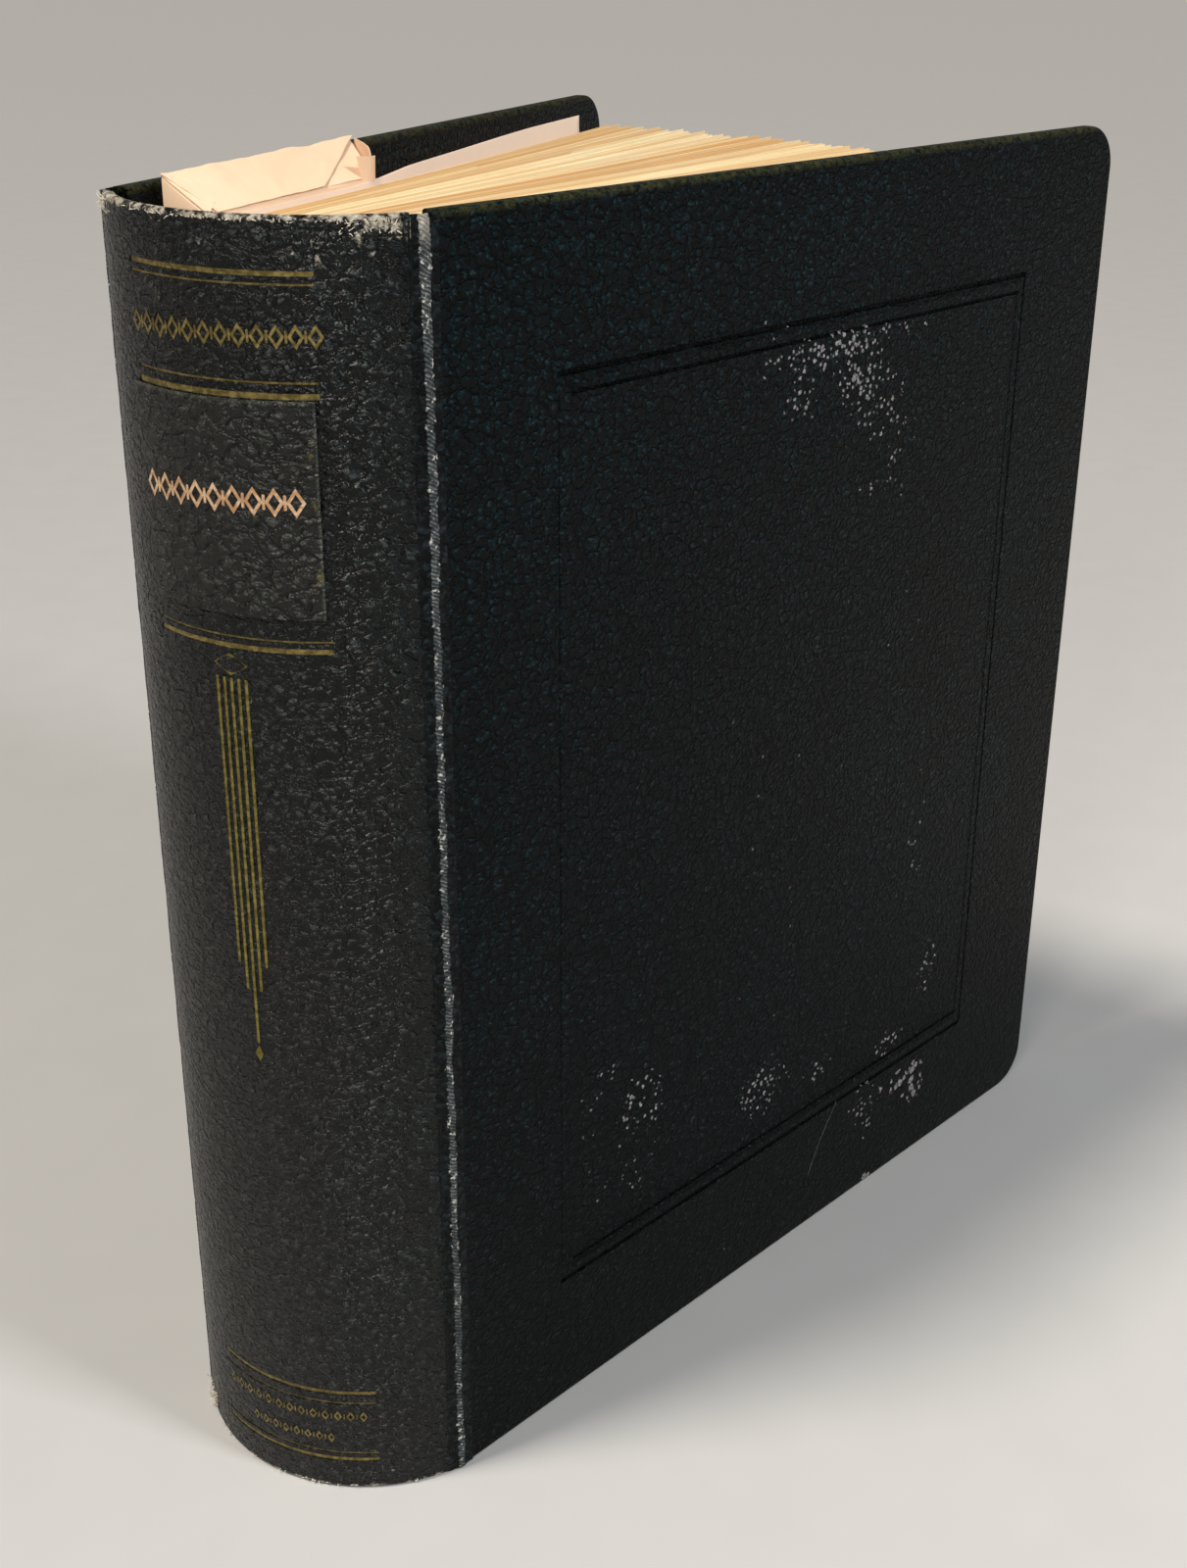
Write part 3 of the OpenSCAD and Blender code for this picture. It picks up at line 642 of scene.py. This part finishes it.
def seam_finish(name, half_width):
    made, tree, shader = finish_of(name)
    spot = add(tree, "ShaderNodeTexCoord").outputs["UV"]
    place = add(tree, "ShaderNodeTexCoord").outputs["Object"]
    high = pebbles(tree, place, 1.1, (1, 1, 1.3))[0]
    uv = add(tree, "ShaderNodeSeparateXYZ", {0: spot})
    ragged = haze(tree, place, 640.0, 5.0, 0.7)
    slow = haze(tree, place, 60.0, 3.0, 0.6)
    half = plus(tree, half_width, fade(tree, uv.outputs["Y"], HEIGHT - 0.034, HEIGHT - 0.014, 0.0, 0.00042))
    half = plus(tree, half, times(tree, minus(tree, ragged, 0.5), 0.0018))
    half = plus(tree, half, times(tree, minus(tree, slow, 0.5), 0.0014))
    middle = times(tree, minus(tree, slow, 0.5), 0.0018)
    off = minus(tree, calc(tree, "ABSOLUTE", minus(tree, uv.outputs["X"], middle)), half)
    bare = fade(tree, off, -0.00010, 0.00010, 1.0, 0.0)
    knot = haze(tree, place, 820.0, 2.0)
    knot = times(tree, fade(tree, knot, 0.60, 0.67), fade(tree, off, 0.0000, 0.0006, 1.0, 0.0))
    bare = most(tree, bare, knot)
    slant = plus(tree, uv.outputs["Y"], times(tree, uv.outputs["X"], 0.55))
    slant = plus(tree, slant, times(tree, plus(tree, ragged, times(tree, slow, 3.0)), 0.0010))
    twill = plus(tree, times(tree, calc(tree, "SINE", times(tree, slant, 2 * math.pi / 0.00095)), 0.5), 0.5)
    thread = tint(tree, twill, (0.045, 0.052, 0.055), (0.185, 0.195, 0.19))
    thread = tint(tree, fade(tree, ragged, 0.42, 0.60), tint(tree, 0.75, thread, (0.022, 0.028, 0.030)), thread)
    thread = tint(tree, times(tree, knot, 0.8), thread, (0.72, 0.69, 0.62))
    near_head = fade(tree, uv.outputs["Y"], HEIGHT - 0.007, HEIGHT - 0.002, 0.0, 0.6)
    thread = tint(tree, near_head, thread, (0.46, 0.42, 0.34))
    # The cloth is dark teal on the pebbles, with painted shade darkening the creases of its grain.
    colour = tint(tree, fade(tree, high, 0.30, 0.88), (0.0007, 0.0012, 0.0012), (0.0110, 0.0180, 0.0200))
    tree.links.new(tint(tree, bare, colour, thread), shader.inputs["Base Color"])
    tree.links.new(plus(tree, times(tree, bare, 0.45), 0.40), shader.inputs["Roughness"])
    relief = plus(tree, times(tree, high, minus(tree, 1.0, bare)), times(tree, times(tree, bare, twill), 0.4))
    emboss(tree, shader, relief, 1.0, 0.0011)
    shader.inputs["Specular IOR Level"].default_value = 0.11
    return made


for name, out, splay, body, node in (("front_seam", 1, FRONT_SPLAY, "front_cover", "front_joint_cloth"),
                                     ("back_seam", -1, BACK_SPLAY, "back_cover", "back_joint_cloth")):
    strip = joint_strip(name, out, splay)
    strip.data.materials.append(seam_finish(name + "_cloth", 0.00085))
    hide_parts(node)
    end = math.asin(SEAM_X / RADIUS)
    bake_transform(strip)

# ---- Frayed threads ----
# Short broken threads of the cloth's backing stand out at the head, at the corners and at the tail's back corner.


def frayed(name, tufts, seed):
    """Threads, each bent from one straight model: root, way out, length, thickness."""
    pick = random.Random(seed)
    deselect()
    bpy.ops.mesh.primitive_cylinder_add(vertices=5, radius=1, depth=1, location=(0, 0, 0.5))
    model = bpy.context.object
    settle(model)
    for z in (0.2, 0.4, 0.6, 0.8):
        cut(model, (0, 0, z), (0, 0, 1))
    made = []
    for root, way, long in tufts:
        hair = model.copy()
        hair.data = model.data.copy()
        bpy.context.scene.collection.objects.link(hair)
        way = (way + Vector((pick.uniform(-1, 1), pick.uniform(-1, 1), pick.uniform(-1, 1))) * 0.55).normalized()
        bend = way.cross(Vector((pick.uniform(-1, 1), pick.uniform(-1, 1), pick.uniform(-1, 1)))).normalized()
        a, b = way.orthogonal().normalized(), way.cross(way.orthogonal()).normalized()
        thick = pick.uniform(0.00009, 0.00017)
        for v in hair.data.vertices:
            t = v.co.z
            slim = thick * (1 - 0.6 * t)
            v.co = root + way * (t * long) + bend * (0.45 * long * t * t) + a * (v.co.x * slim) + b * (v.co.y * slim)
        made.append(hair)
    bpy.data.objects.remove(model)
    fray = joined(made, name)
    bpy.ops.object.mode_set(mode="EDIT")
    bpy.ops.mesh.select_all(action="SELECT")
    bpy.ops.mesh.normals_make_consistent(inside=False)
    bpy.ops.object.mode_set(mode="OBJECT")
    bpy.ops.object.shade_smooth()
    fray.data.materials.append(thread_finish)
    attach(fray, "binding")


thread_finish, tree, shader = finish_of("backing_thread")
fluff = haze(tree, add(tree, "ShaderNodeTexCoord").outputs["Object"], 900.0)
tree.links.new(tint(tree, fluff, (0.50, 0.43, 0.32), (0.86, 0.81, 0.70)), shader.inputs["Base Color"])
shader.inputs["Roughness"].default_value = 0.9
sprout = random.Random(11)
head_tufts, tail_tufts = [], []
for s_from, s_to, count, long in ((-0.0405, -0.0330, 26, 0.0013), (0.0270, 0.0388, 60, 0.0013),
                                  (-0.0330, 0.0270, 46, 0.0009)):
    for _ in range(count):
        s = sprout.uniform(s_from, s_to)
        depth = sprout.uniform(0.0004, 0.0012) if abs(s) < 0.027 else sprout.uniform(0.0003, 0.0050)
        root = on_spine(s, HEIGHT - 0.0006 - depth * 0.6, -0.00005)
        out = (on_spine(s, 0, 0.001) - on_spine(s, 0, 0)).normalized()
        head_tufts.append((root, out * 0.7 + Vector((0, 0, 0.5)), long * sprout.uniform(0.4, 1.2)))
for k in range(90):
    s = sprout.uniform(-0.0400, -0.0330) if k % 3 else sprout.uniform(-0.030, 0.0395)
    root = on_spine(s, sprout.uniform(0.0007, 0.0070 if k % 3 else 0.0011), -0.00005)
    out = (on_spine(s, 0, 0.001) - on_spine(s, 0, 0)).normalized()
    tail_tufts.append((root, out + Vector((0, 0, 0.2)), sprout.uniform(0.0005, 0.0024 if k % 3 else 0.0009)))
frayed("head_fray", head_tufts, 5)
frayed("tail_fray", tail_tufts, 6)

# ---- Leaves ----
# Ninety thin cream leaves, held on the posts by stubs and creased just clear of them. They fan out from
# the packet to the front cover in six bundles.
creases = (-0.0126, -0.0062, 0.0002, 0.0066, 0.0130, 0.0194)
fan = (-2.2, 1.9, 7.0, 11.6, 15.3, 18.4, 20.6)


def paper(name, light, dark, lined=False):
    made, tree, shader = finish_of(name)
    place = add(tree, "ShaderNodeTexCoord").outputs["Object"]
    fibre = haze(tree, place, 260.0, 6.0, 0.65)
    cloud = haze(tree, place, 14.0, 3.0)
    colour = tint(tree, fade(tree, cloud, 0.3, 0.7), light, dark)
    if lined:
        # Each leaf is tinted toward orange by its own value: partly the paper's own tone, partly painted shade
        # between the leaves.
        shade = add(tree, "ShaderNodeAttribute", attribute_name="leaf_tone_and_painted_shade").outputs["Fac"]
        colour = tint(tree, times(tree, shade, 0.9), colour, (0.72, 0.41, 0.14))
    colour = tint(tree, times(tree, fibre, 0.10), colour, (0.34, 0.20, 0.10))
    tree.links.new(colour, shader.inputs["Base Color"])
    tree.links.new(plus(tree, times(tree, fibre, 0.2), 0.68), shader.inputs["Roughness"])
    shader.inputs["Subsurface Weight"].default_value = 0.08
    shader.inputs["Subsurface Radius"].default_value = (0.002, 0.0012, 0.0006)
    emboss(tree, shader, fibre, 0.25, 0.00008)
    return made


album_paper = paper("album_paper", (0.95, 0.81, 0.52), (0.93, 0.76, 0.45), lined=True)
dice = random.Random(7)
per_bundle, leaf_tall, leaf_start, bend_run = 15, 0.2925, 0.033, 0.045
for i, crease in enumerate(creases):
    sheets, shades = [], []
    for k in range(per_bundle):
        share = (k + 0.5) / per_bundle
        turn = math.radians(fan[i] + (fan[i + 1] - fan[i]) * share + dice.uniform(-0.12, 0.12))
        root = crease + (share - 0.5) * 0.0056
        lift = 0.0178 - 0.0005 * (i + share) + dice.uniform(-0.0006, 0.0004)
        reach = 0.2175 + dice.uniform(-0.0016, 0.0012)
        bow = dice.uniform(-0.0012, 0.0012) + 0.0025 * (0.5 - abs(i + share - 3) / 6)
        bow = abs(bow) if i == 0 else bow
        deselect()
        bpy.ops.mesh.primitive_grid_add(x_subdivisions=22, y_subdivisions=3, size=1)
        leaf = bpy.context.object
        for v in leaf.data.vertices:
            t, z = v.co.x + 0.5, (v.co.y + 0.5) * leaf_tall + lift
            run = t * reach
            ease = min(1.0, run / bend_run)
            lean = turn * (ease * ease * (3 - 2 * ease))
            sway = bow * math.sin(math.pi * min(1, max(0, t))) + 0.0005 * math.sin(9 * t + k) * (z - 0.1)
            travelled = run - 0.5 * bend_run if run > bend_run else run * run / (2 * bend_run)
            v.co = (root + math.tan(turn) * travelled * math.cos(turn) + sway,
                    leaf_start + run * math.cos(lean * 0.98), z)
        wall = leaf.modifiers.new("wall", "SOLIDIFY")
        wall.thickness, wall.offset = 0.00022, 0
        bpy.ops.object.modifier_apply(modifier="wall")
        sheets.append(leaf)
        # The leaf's tint share: partly tone, partly painted shade, stronger toward the back bundles, in slow waves
        # and at random.
        deep = 0.52 - 0.40 * abs(i + share) / 6 + 0.30 * math.sin((i + share) * 2.9 + 0.6)
        shades += [min(1.0, max(0.0, deep + dice.uniform(-0.50, 0.52)))] * len(leaf.data.polygons)
    bundle = joined(sheets, f"leaves_bundle_{i + 1}")
    bundle.data.attributes.new("leaf_tone_and_painted_shade", "FLOAT", "FACE").data.foreach_set("value", shades)
    bpy.ops.object.shade_smooth_by_angle(angle=math.radians(40))
    bundle.data.materials.append(album_paper)
    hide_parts(f"leaf_section_{i + 1}")
    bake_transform(bundle)

# ---- Last sheet ----
# A thin pinkish sheet behind the leaves. It lies on the packet and then leans back to the back cover.
plan = [(-0.0158, 0.0120), (-0.0159, 0.0350), (-0.0161, 0.0650), (-0.0166, 0.0970), (-0.0206, 0.1320),
        (-0.0256, 0.1720), (-0.0299, 0.2120), (-0.0325, 0.2520)]
deselect()
bpy.ops.mesh.primitive_grid_add(x_subdivisions=60, y_subdivisions=6, size=1)
last_sheet = bpy.context.object
last_sheet.name = "last_sheet"
for v in last_sheet.data.vertices:
    t = (v.co.x + 0.5) * (len(plan) - 1)
    k = min(int(t), len(plan) - 2)
    pts = [Vector(plan[max(0, min(len(plan) - 1, k + j))]) for j in (-1, 0, 1, 2)]
    f = t - k
    p = 0.5 * ((2 * pts[1]) + (pts[2] - pts[0]) * f + (2 * pts[0] - 5 * pts[1] + 4 * pts[2] - pts[3]) * f * f
               + (3 * pts[1] - pts[0] - 3 * pts[2] + pts[3]) * f ** 3)
    z = 0.020 + (v.co.y + 0.5) * (0.2910 + 0.0012 * min(1, max(0, (p.y - 0.085) / 0.03)))
    v.co = (p.x + 0.00012 * math.sin(t * 3 + z * 20), p.y, z)
wall = last_sheet.modifiers.new("wall", "SOLIDIFY")
wall.thickness, wall.offset = 0.00018, 0
bpy.ops.object.modifier_apply(modifier="wall")
bpy.ops.object.shade_smooth()
last_sheet.data.materials.append(paper("pink_paper", (0.88, 0.67, 0.51), (0.83, 0.62, 0.47)))
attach(last_sheet, "binding")
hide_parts("rear_sheet")

# ---- Wrapped packet ----
# A flat packet of spare leaves in cream wrapping paper. Its head is closed like a parcel: the ends are folded in
# and a flap with slanting ends comes down over them from the back edge, so the head slopes to the leaves.
PACK_BACK, PACK_FRONT, PACK_MIDDLE, PACK_TOP, PACK_FALL = -0.0303, -0.0171, -0.0237, 0.3185, 0.0070


def on_head(x, y, lift=0.0):
    """A point on the packet's sloping head."""
    return Vector((x, y, PACK_TOP - PACK_FALL * (x - PACK_BACK) / (PACK_FRONT - PACK_BACK) + lift))


def crumple(obj, amount, scale, seed):
    """Moves each point a little along its normal, as paper that has been handled."""
    ways = [v.normal.copy() for v in obj.data.vertices]
    for v, way in zip(obj.data.vertices, ways):
        n = noise.noise(v.co * scale + Vector((seed, 0, 0))) + 0.5 * noise.noise(v.co * scale * 2.7)
        v.co += way * (n * amount)


deselect()
bpy.ops.mesh.primitive_cube_add(size=1, location=((PACK_BACK + PACK_FRONT) / 2, 0.0665, PACK_TOP / 2 + 0.0001),
                                scale=(PACK_FRONT - PACK_BACK, 0.0800, PACK_TOP - 0.0002))
packet = bpy.context.object
packet.name = "packet_wrapping"
settle(packet)
for at_front, near, move in ((True, True, -0.0007), (False, True, 0.0024),
                             (True, False, -0.0104), (False, False, 0.0018)):
    choose(packet, "EDGE", lambda c, d: abs(d.z) > 0.9 and (c.x > PACK_MIDDLE) == at_front and (c.y < 0.06) == near)
    bpy.ops.transform.translate(value=(0, move, 0))
    bpy.ops.object.mode_set(mode="OBJECT")
choose(packet, "EDGE", lambda c, d: abs(d.y) > 0.5 and c.x > PACK_MIDDLE and c.z > 0.3)
bpy.ops.transform.translate(value=(0, 0, -PACK_FALL))
bpy.ops.mesh.select_all(action="SELECT")
bpy.ops.mesh.bevel(offset=0.0005, segments=2)
bpy.ops.object.mode_set(mode="OBJECT")
for y in [0.0264 + 0.0820 * k / 22 for k in range(1, 22)]:
    cut(packet, (0, y, 0), (0, 1, 0))
for z in [0.3120 * k / 64 for k in range(1, 65)]:
    cut(packet, (0, 0, z), (0, 0, 1))
for x in (-0.0271, PACK_MIDDLE, -0.0203):
    cut(packet, (x, 0, 0), (1, 0, 0))
crumple(packet, 0.00018, 70.0, 3.0)
bpy.ops.object.shade_smooth_by_angle(angle=math.radians(40))
wrapping = paper("wrapping_paper", (0.87, 0.64, 0.44), (0.80, 0.55, 0.36))
packet.data.materials.append(wrapping)
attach(packet, "packet")
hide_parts("packet_wrap")


def folded_paper(name, corners, rows, seed, curl=None, amount=0.0003):
    """A thin four-cornered piece of paper, given by its corners, with a slight crumple and an optional curl."""
    deselect()
    bpy.ops.mesh.primitive_grid_add(x_subdivisions=rows[0], y_subdivisions=rows[1], size=1)
    sheet = bpy.context.object
    sheet.name = name
    a, b, c, d = (Vector(p) for p in corners)
    for v in sheet.data.vertices:
        s, t = v.co.x + 0.5, v.co.y + 0.5
        p = a.lerp(b, s).lerp(d.lerp(c, s), t)
        p.z += (amount * noise.noise(p * 95 + Vector((seed, 0, 0)))
                + 0.4 * amount * noise.noise(p * 330 + Vector((seed, 5, 0))))
        if curl:
            p += curl(s, t)
        v.co = p
    wall = sheet.modifiers.new("wall", "SOLIDIFY")
    wall.thickness, wall.offset = 0.00020, 1
    bpy.ops.object.modifier_apply(modifier="wall")
    bpy.ops.object.shade_smooth_by_angle(angle=math.radians(50))
    sheet.data.materials.append(wrapping)
    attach(sheet, "packet")


folded_paper("packet_end_fold_spine", [on_head(-0.0302, 0.0290, 0.0002), on_head(-0.0172, 0.0262, 0.0002),
             on_head(-0.0200, 0.0330, 0.0003), on_head(-0.0285, 0.0350, 0.0003)], (10, 8), 1.0)
folded_paper("packet_end_fold_fore", [on_head(-0.0302, 0.1075, 0.0003), on_head(-0.0172, 0.0955, 0.0003),
             on_head(-0.0176, 0.0740, 0.0002), on_head(-0.0290, 0.0900, 0.0003)], (14, 10), 2.0)
folded_paper("packet_flap", [on_head(-0.0303, 0.0288, 0.0007), on_head(-0.0303, 0.1092, 0.0008),
             on_head(-0.0173, 0.0735, 0.0006), on_head(-0.0173, 0.0300, 0.0005)], (64, 14), 4.0,
             lambda s, t: Vector((0, 0, 0.0004 * max(0, s - 0.86) / 0.14 * (1 - t)
                                  + 0.00035 * noise.noise(Vector((s * 9, t * 2, 1))) * (1 - t))))
folded_paper("packet_ear", [Vector((-0.0303, 0.1090, 0.3150)), Vector((-0.0171, 0.0966, 0.3105)),
             Vector((-0.0169, 0.0968, 0.3168)), Vector((-0.0296, 0.1092, 0.3190))], (24, 10), 7.0,
             lambda s, t: (Vector((0.0004, 0.0018, 0)) * math.sin(math.pi * s)
                           + Vector((-0.0009, -0.0010, 0)) * (t * t * s)))
folded_paper("packet_ear_turn", [Vector((-0.0172, 0.0967, 0.3108)), Vector((-0.0171, 0.0905, 0.3112)),
             Vector((-0.0180, 0.0896, 0.3172)), Vector((-0.0170, 0.0967, 0.3167))], (10, 10), 9.0,
             lambda s, t: Vector((0.0010, 0.0, 0)) * math.sin(math.pi * s), 0.0002)

# ---- Inner faces and label ----
# The inner faces of the covers and spine are lined with smooth dark cloth. The label is a patch of coarser
# leather cloth, glued on over an older one.


def lining_finish():
    made, tree, shader = finish_of("inner_cloth")
    place = add(tree, "ShaderNodeTexCoord").outputs["Object"]
    high, fine = pebbles(tree, place, 0.8)
    colour = tint(tree, fine, (0.020, 0.022, 0.011), (0.030, 0.032, 0.017))
    tree.links.new(colour, shader.inputs["Base Color"])
    tree.links.new(plus(tree, times(tree, fine, 0.2), 0.5), shader.inputs["Roughness"])
    shader.inputs["Specular IOR Level"].default_value = 0.3
    emboss(tree, shader, high, 0.4, 0.00012)
    return made


def label_finish():
    made, tree, shader = finish_of("label_leather_cloth")
    place = add(tree, "ShaderNodeTexCoord").outputs["Object"]
    high, fine = pebbles(tree, place, 1.25, (1, 1, 1.35))
    axes = add(tree, "ShaderNodeSeparateXYZ", {0: place})
    low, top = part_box("spine_label")
    # Painted shade: the creases of the label's grain are darkened almost to black.
    colour = tint(tree, fade(tree, high, 0.1, 0.9), (0.0008, 0.0011, 0.0009), (0.0165, 0.0172, 0.0135))
    # The tops of its pebbles are painted lighter: partly rubbed wear, partly painted highlight.
    colour = tint(tree, times(tree, fade(tree, high, 0.72, 1.0), 0.5), colour, (0.050, 0.054, 0.046))
    rim = most(tree, fade(tree, axes.outputs["Z"], top[2] - 0.0009, top[2] - 0.0004),
               fade(tree, axes.outputs["X"], top[0] - 0.0007, top[0] - 0.0003))
    colour = tint(tree, times(tree, rim, fade(tree, fine, 0.35, 0.6, 0.25, 0.9)), colour, (0.055, 0.058, 0.045))
    gold = haze(tree, place, 240.0, 5.0, 0.7)
    edge = times(tree, fade(tree, axes.outputs["X"], 0.0165, 0.0200), fade(tree, gold, 0.58, 0.66))
    tree.links.new(tint(tree, times(tree, edge, 0.65), colour, (0.13, 0.115, 0.035)), shader.inputs["Base Color"])
    tree.links.new(plus(tree, times(tree, fine, 0.20), 0.22), shader.inputs["Roughness"])
    shader.inputs["Specular IOR Level"].default_value = 0.27
    emboss(tree, shader, plus(tree, high, times(tree, fine, 0.2)), 1.0, 0.0019)
    return made


def clad(finish, *nodes):
    """Gives a CAD node, whose shape stays, its finish."""
    for n in nodes:
        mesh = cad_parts[n].data
        mesh.materials.clear()
        mesh.materials.append(finish)


clad(lining_finish(), "front_lining", "back_lining", "spine_lining")
clad(label_finish(), "spine_label")

# ---- Binding metal, boards and stubs ----
# Nickel-plated plates, posts and lock bar, plain steel hinges, grey board inside the covers, and the stubs.


def plate_finish(name, light, dark, rough):
    made, tree, shader = finish_of(name)
    place = add(tree, "ShaderNodeTexCoord").outputs["Object"]
    drawn = add(tree, "ShaderNodeMapping", {"Vector": place, "Scale": (900, 900, 20)}).outputs[0]
    lines = haze(tree, drawn, 1.0, 4.0)
    stain = haze(tree, place, 60.0, 4.0)
    tree.links.new(tint(tree, fade(tree, stain, 0.35, 0.7), light, dark), shader.inputs["Base Color"])
    tree.links.new(plus(tree, times(tree, lines, 0.25), rough), shader.inputs["Roughness"])
    shader.inputs["Metallic"].default_value = 1.0
    emboss(tree, shader, lines, 0.15, 0.00005)
    return made


def board_finish(name, light, dark):
    made, tree, shader = finish_of(name)
    place = add(tree, "ShaderNodeTexCoord").outputs["Object"]
    ply = add(tree, "ShaderNodeMapping", {"Vector": place, "Scale": (2500, 200, 200)}).outputs[0]
    fibre = haze(tree, ply, 1.0, 5.0)
    tree.links.new(tint(tree, fibre, light, dark), shader.inputs["Base Color"])
    shader.inputs["Roughness"].default_value = 0.85
    emboss(tree, shader, fibre, 0.4, 0.0001)
    return made


clad(plate_finish("nickel_plate", (0.60, 0.58, 0.52), (0.42, 0.40, 0.35), 0.25),
     "back_plate", "front_plate", "foot_rivets", "binding_posts", "lock_bar", "lock_guides")
clad(plate_finish("plain_steel", (0.50, 0.50, 0.50), (0.33, 0.31, 0.29), 0.32),
     "front_spine_leaf", "back_spine_leaf", "front_cover_leaf", "back_cover_leaf", "front_leaf_rivets",
     "back_leaf_rivets", "front_hinge_pin", "back_hinge_pin")
clad(board_finish("grey_board", (0.42, 0.40, 0.34), (0.30, 0.28, 0.24)), "spine_board", "front_board", "back_board")
clad(board_finish("pasteboard", (0.70, 0.62, 0.45), (0.58, 0.50, 0.35)), "filler_strips")
clad(board_finish("stub_paper", (0.80, 0.70, 0.50), (0.62, 0.50, 0.32)), "leaf_stubs", "packet_filling")
